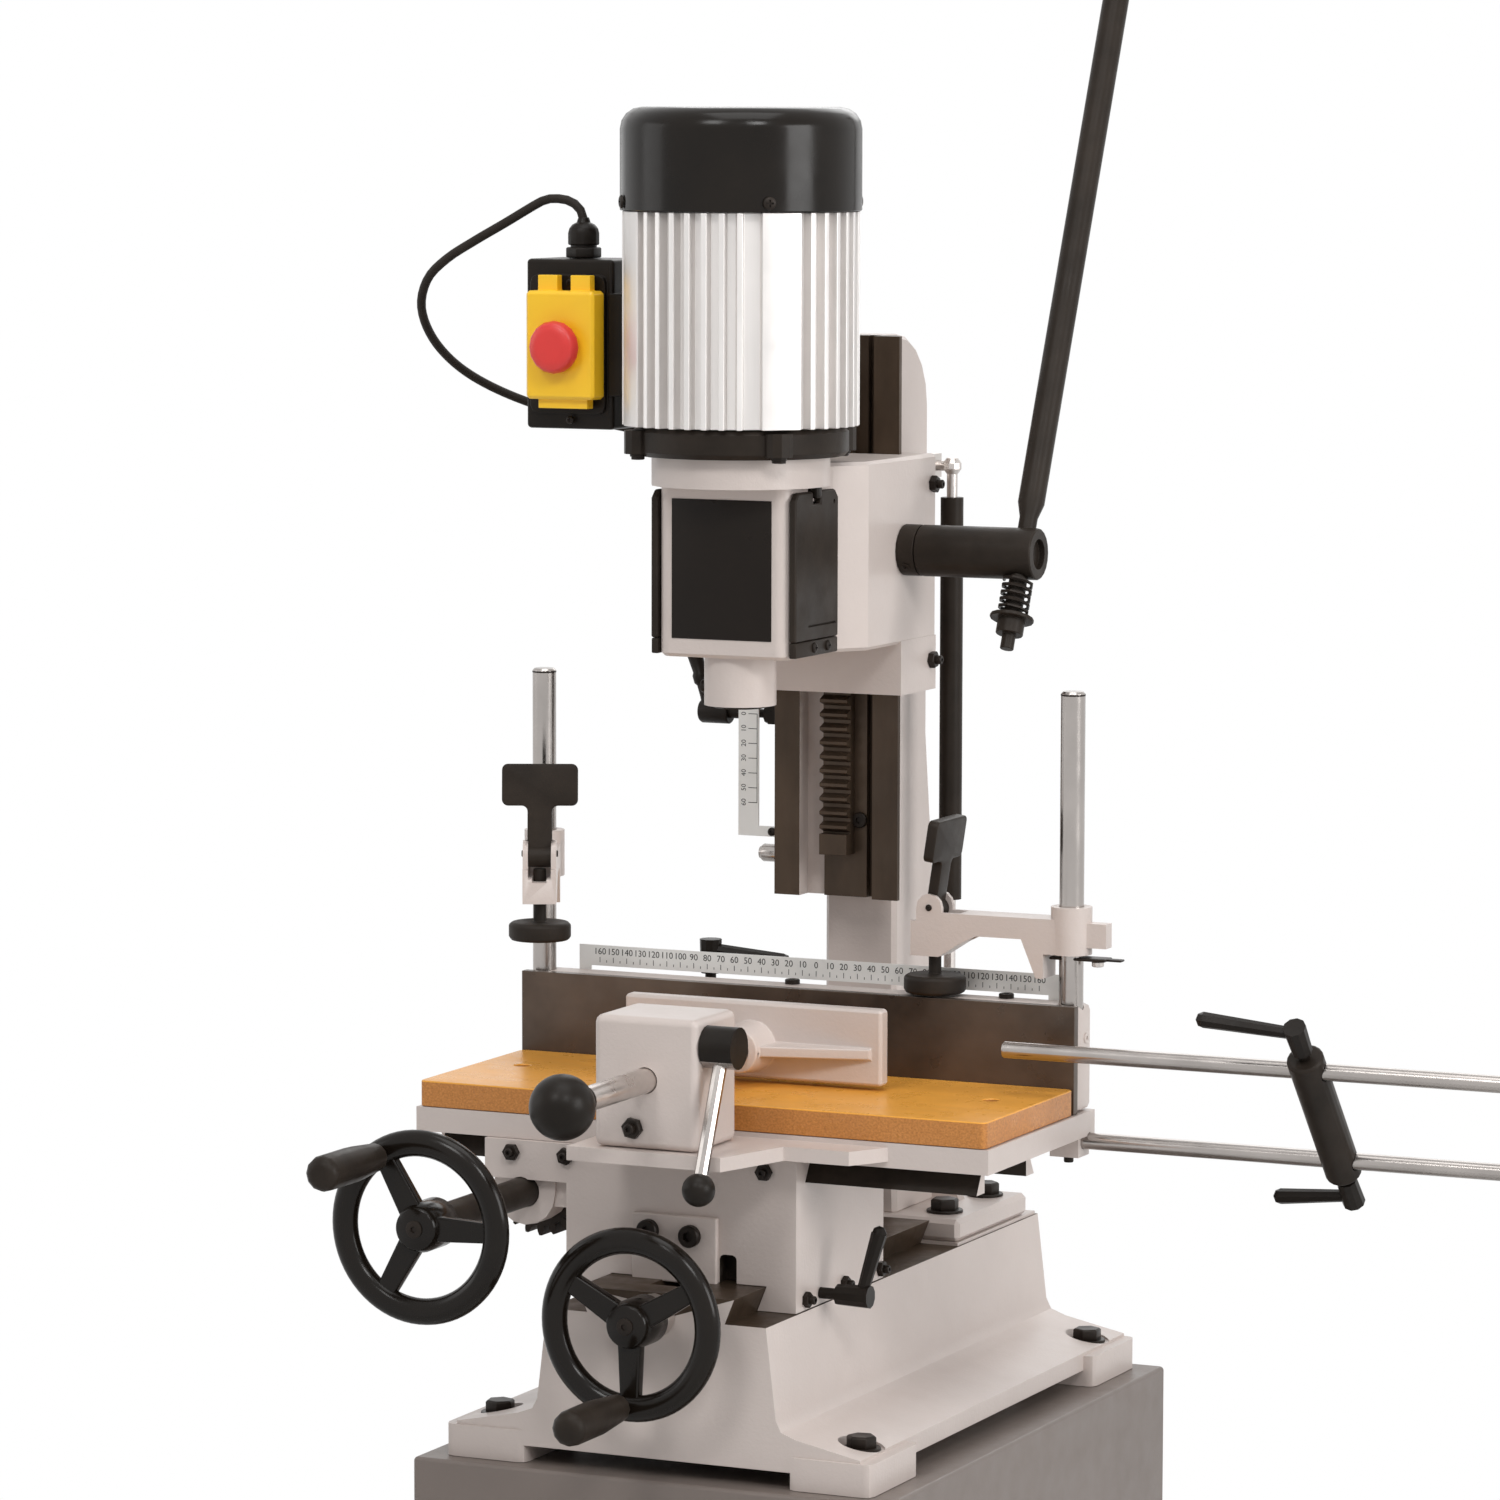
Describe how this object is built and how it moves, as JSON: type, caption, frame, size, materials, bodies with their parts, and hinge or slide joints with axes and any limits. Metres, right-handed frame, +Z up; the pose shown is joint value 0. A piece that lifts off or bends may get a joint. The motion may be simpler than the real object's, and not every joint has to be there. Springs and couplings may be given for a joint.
{
  "type": "floor-standing mortiser",
  "caption": "Floor-standing hollow-chisel mortiser: finned motor, feed lever, cross-slide table, fence, vise, hold-down clamps and length stop on a steel cabinet.",
  "frame": {"origin": "centre of the cabinet bottom, on the floor", "axes": "+Z up, the front with the handwheels towards -Y, the feed lever on +X"},
  "size_m": [0.7702, 0.7541, 1.628],
  "materials": {
    "casting_paint": "warm light grey satin paint",
    "cabinet_paint": "dark grey textured paint",
    "machined_iron": "dark machined iron",
    "gloss_black": "gloss black paint",
    "satin_black": "satin black",
    "aluminium": "cast aluminium",
    "chrome": "chromed steel",
    "steel": "turned steel",
    "black_plastic": "black plastic",
    "yellow_plastic": "yellow plastic",
    "red_plastic": "red plastic",
    "green_plastic": "green plastic",
    "laminate": "orange laminate on particle board",
    "scale_plate": "printed scale plate",
    "rubber": "black rubber"
  },
  "bodies": {
    "frame": {"cabinet_shell": "cabinet_paint", "base_casting": "casting_paint", "column_casting": "casting_paint", "feed_rack": "machined_iron", "depth_scale": "scale_plate", "strut_rod": "steel", "cord_tail": "rubber", "plug": "black_plastic"},
    "door": {"cabinet_door": "cabinet_paint"},
    "head": {"head_casting": "casting_paint", "motor_flange": "satin_black", "motor_body": "aluminium", "fan_cowl": "gloss_black", "switch_box": "black_plastic", "cord_gland": "black_plastic", "strut_cylinder": "satin_black", "cord_free": "rubber"},
    "spindle": {"motor_shaft_chuck": "steel"},
    "right_guard": {"guard_right": "black_plastic"},
    "left_guard": {"guard_left": "black_plastic"},
    "cover": {"switch_cover": "yellow_plastic"},
    "stop": {"stop_button": "red_plastic"},
    "start": {"start_button": "green_plastic"},
    "feed_hub": {"feed_pinion_shaft": "machined_iron", "lever_hub": "satin_black"},
    "lever": {"feed_lever": "satin_black", "lever_spring": "steel"},
    "stop_bar": {"depth_stop": "satin_black"},
    "stop_bar_lever": {"depth_stop_lever": "black_plastic"},
    "cross_drive": {"cross_screw": "steel", "front_handwheel": "satin_black"},
    "front_handle": {"front_grip": "black_plastic"},
    "saddle": {"saddle_casting": "casting_paint"},
    "saddle_lock": {"saddle_lock_lever": "black_plastic"},
    "side_drive": {"side_pinion_shaft": "satin_black", "side_handwheel": "satin_black"},
    "side_handle": {"side_grip": "black_plastic"},
    "table": {"table_casting": "casting_paint", "table_board": "laminate", "fence_face": "machined_iron", "fence_casting": "casting_paint", "post_left": "chrome", "post_right": "chrome", "fence_ruler": "scale_plate", "vise_block": "casting_paint"},
    "fence_lock": {"fence_lock_lever": "black_plastic"},
    "vise": {"vise_bar": "steel", "vise_jaw": "casting_paint"},
    "cam": {"cam_lever": "satin_black"},
    "left_clamp": {"clamp_left_arm": "casting_paint"},
    "left_clamp_lever": {"clamp_left_lever": "black_plastic"},
    "left_pad": {"clamp_left_pad": "rubber"},
    "right_clamp": {"clamp_right_arm": "casting_paint"},
    "right_clamp_lever": {"clamp_right_lever": "black_plastic"},
    "right_pad": {"clamp_right_pad": "rubber"},
    "lower_rod": {"stop_rod_lower": "chrome"},
    "holder": {"stop_holder": "satin_black"},
    "upper_rod": {"stop_rod_upper": "chrome"},
    "top_lever": {"stop_lever_top": "black_plastic"},
    "bottom_lever": {"stop_lever_bottom": "black_plastic"}
  },
  "joints": [
    {"name": "head_slide", "type": "slide", "parent": "frame", "child": "head", "axis": [0, 0, 1], "range_m": [-0.064, 0.04], "deforming": ["cord_free"]},
    {"name": "feed_turn", "type": "hinge", "parent": "head", "child": "feed_hub", "pos_m": [0, 0.026, 1.216], "axis": [1, 0, 0], "range_deg": [-96, 153]},
    {"name": "lever_pull", "type": "slide", "parent": "feed_hub", "child": "lever", "axis": [0, 0.4004, 0.9164], "range_m": [0, 0.01], "stiffness_N_per_m": 2500, "springref_m": -0.008, "deforming": ["lever_spring"]},
    {"name": "spindle_turn", "type": "hinge", "parent": "head", "child": "spindle", "pos_m": [0, -0.1, 1.246], "axis": [0, 0, 1], "continuous": true},
    {"name": "right_guard_hinge", "type": "hinge", "parent": "head", "child": "right_guard", "pos_m": [0.0513, -0.0935, 1.1655], "axis": [0, 1, 0], "range_deg": [0, 100]},
    {"name": "left_guard_hinge", "type": "hinge", "parent": "head", "child": "left_guard", "pos_m": [-0.0513, -0.0935, 1.1655], "axis": [0, -1, 0], "range_deg": [0, 100]},
    {"name": "cover_hinge", "type": "hinge", "parent": "head", "child": "cover", "pos_m": [-0.1155, -0.1195, 1.3925], "axis": [-1, 0, 0], "range_deg": [0, 100]},
    {"name": "stop_press", "type": "slide", "parent": "cover", "child": "stop", "axis": [0, 1, 0], "range_m": [0, 0.0025], "stiffness_N_per_m": 600, "springref_m": -0.001},
    {"name": "start_press", "type": "slide", "parent": "head", "child": "start", "axis": [0, 1, 0], "range_m": [0, 0.002], "stiffness_N_per_m": 600, "springref_m": -0.001},
    {"name": "depth_stop_slide", "type": "slide", "parent": "head", "child": "stop_bar", "axis": [0, 0, 1], "range_m": [-0.014, 0]},
    {"name": "depth_stop_lever_turn", "type": "hinge", "parent": "stop_bar", "child": "stop_bar_lever", "pos_m": [-0.0692, 0.066, 1.099], "axis": [1, 0, 0], "range_deg": [-90, 90]},
    {"name": "front_wheel_turn", "type": "hinge", "parent": "frame", "child": "cross_drive", "pos_m": [0, -0.262, 0.7443], "axis": [0, 1, 0], "range_deg": [-2161, 2881]},
    {"name": "front_grip_turn", "type": "hinge", "parent": "cross_drive", "child": "front_handle", "pos_m": [-0.0036, -0.262, 0.693], "axis": [0, 1, 0], "continuous": true},
    {"name": "saddle_slide", "type": "slide", "parent": "frame", "child": "saddle", "axis": [0, 1, 0], "range_m": [-0.03, 0.04]},
    {"name": "saddle_lock_turn", "type": "hinge", "parent": "saddle", "child": "saddle_lock", "pos_m": [0.0763, -0.1406, 0.75], "axis": [1, 0, 0], "range_deg": [-80, 60]},
    {"name": "side_wheel_turn", "type": "hinge", "parent": "saddle", "child": "side_drive", "pos_m": [-0.12, -0.317, 0.806], "axis": [0, 1, 0], "range_deg": [-215, 140]},
    {"name": "side_grip_turn", "type": "hinge", "parent": "side_drive", "child": "side_handle", "pos_m": [-0.14567, -0.317, 0.85063], "axis": [0, 1, 0], "continuous": true},
    {"name": "table_slide", "type": "slide", "parent": "saddle", "child": "table", "axis": [1, 0, 0], "range_m": [-0.11, 0.07]},
    {"name": "fence_lock_turn", "type": "hinge", "parent": "table", "child": "fence_lock", "pos_m": [-0.08, 0.026, 0.9265], "axis": [0, 0, -1], "range_deg": [-100, 0]},
    {"name": "vise_slide", "type": "slide", "parent": "table", "child": "vise", "axis": [0, 1, 0], "range_m": [-0.04, 0.045]},
    {"name": "cam_turn", "type": "hinge", "parent": "table", "child": "cam", "pos_m": [0.04, -0.235, 0.92], "axis": [-1, 0, 0], "range_deg": [0, 110]},
    {"name": "left_clamp_slide", "type": "slide", "parent": "table", "child": "left_clamp", "axis": [0, 0, 1], "range_m": [-0.03, 0.09]},
    {"name": "left_clamp_cam", "type": "hinge", "parent": "left_clamp", "child": "left_clamp_lever", "pos_m": [-0.14673, -0.09665, 1.017], "axis": [0.9078, 0.4194, 0], "range_deg": [0, 80]},
    {"name": "left_pad_press", "type": "slide", "parent": "left_clamp", "child": "left_pad", "axis": [0, 0, 1], "range_m": [0, 0.0015]},
    {"name": "right_clamp_slide", "type": "slide", "parent": "table", "child": "right_clamp", "axis": [0, 0, 1], "range_m": [0, 0.1]},
    {"name": "right_clamp_cam", "type": "hinge", "parent": "right_clamp", "child": "right_clamp_lever", "pos_m": [0.099, -0.0095, 0.986], "axis": [0, -1, 0], "range_deg": [0, 80]},
    {"name": "right_pad_press", "type": "slide", "parent": "right_clamp", "child": "right_pad", "axis": [0, 0, 1], "range_m": [0, 0.0015]},
    {"name": "lower_rod_slide", "type": "slide", "parent": "table", "child": "lower_rod", "axis": [1, 0, 0], "range_m": [0, 0.04]},
    {"name": "holder_slide", "type": "slide", "parent": "lower_rod", "child": "holder", "axis": [1, 0, 0], "range_m": [-0.1, 0.12]},
    {"name": "upper_rod_slide", "type": "slide", "parent": "holder", "child": "upper_rod", "axis": [1, 0, 0], "range_m": [-0.1, 0.1]},
    {"name": "top_lever_turn", "type": "hinge", "parent": "holder", "child": "top_lever", "pos_m": [0.378, -0.07174, 0.91262], "axis": [0, -0.6727, 0.7399], "range_deg": [-90, 90]},
    {"name": "bottom_lever_turn", "type": "hinge", "parent": "holder", "child": "bottom_lever", "pos_m": [0.378, 0.00574, 0.82738], "axis": [0, 0.6727, -0.7399], "range_deg": [-90, 90]},
    {"name": "door_hinge", "type": "hinge", "parent": "frame", "child": "door", "pos_m": [-0.1362, -0.242, 0.32], "axis": [0, 0, -1], "range_deg": [0, 110]}
  ],
  "couplings": [
    {"joint": "feed_turn", "follows": "head_slide", "rad_per_m": -41.667},
    {"joint": "front_wheel_turn", "follows": "saddle_slide", "rad_per_m": 1256.6},
    {"joint": "side_wheel_turn", "follows": "table_slide", "rad_per_m": 33.333},
    {"joint": "left_pad_press", "follows": "left_clamp_cam", "m_per_rad": 0.0010742},
    {"joint": "right_pad_press", "follows": "right_clamp_cam", "m_per_rad": 0.0010742}
  ]
}
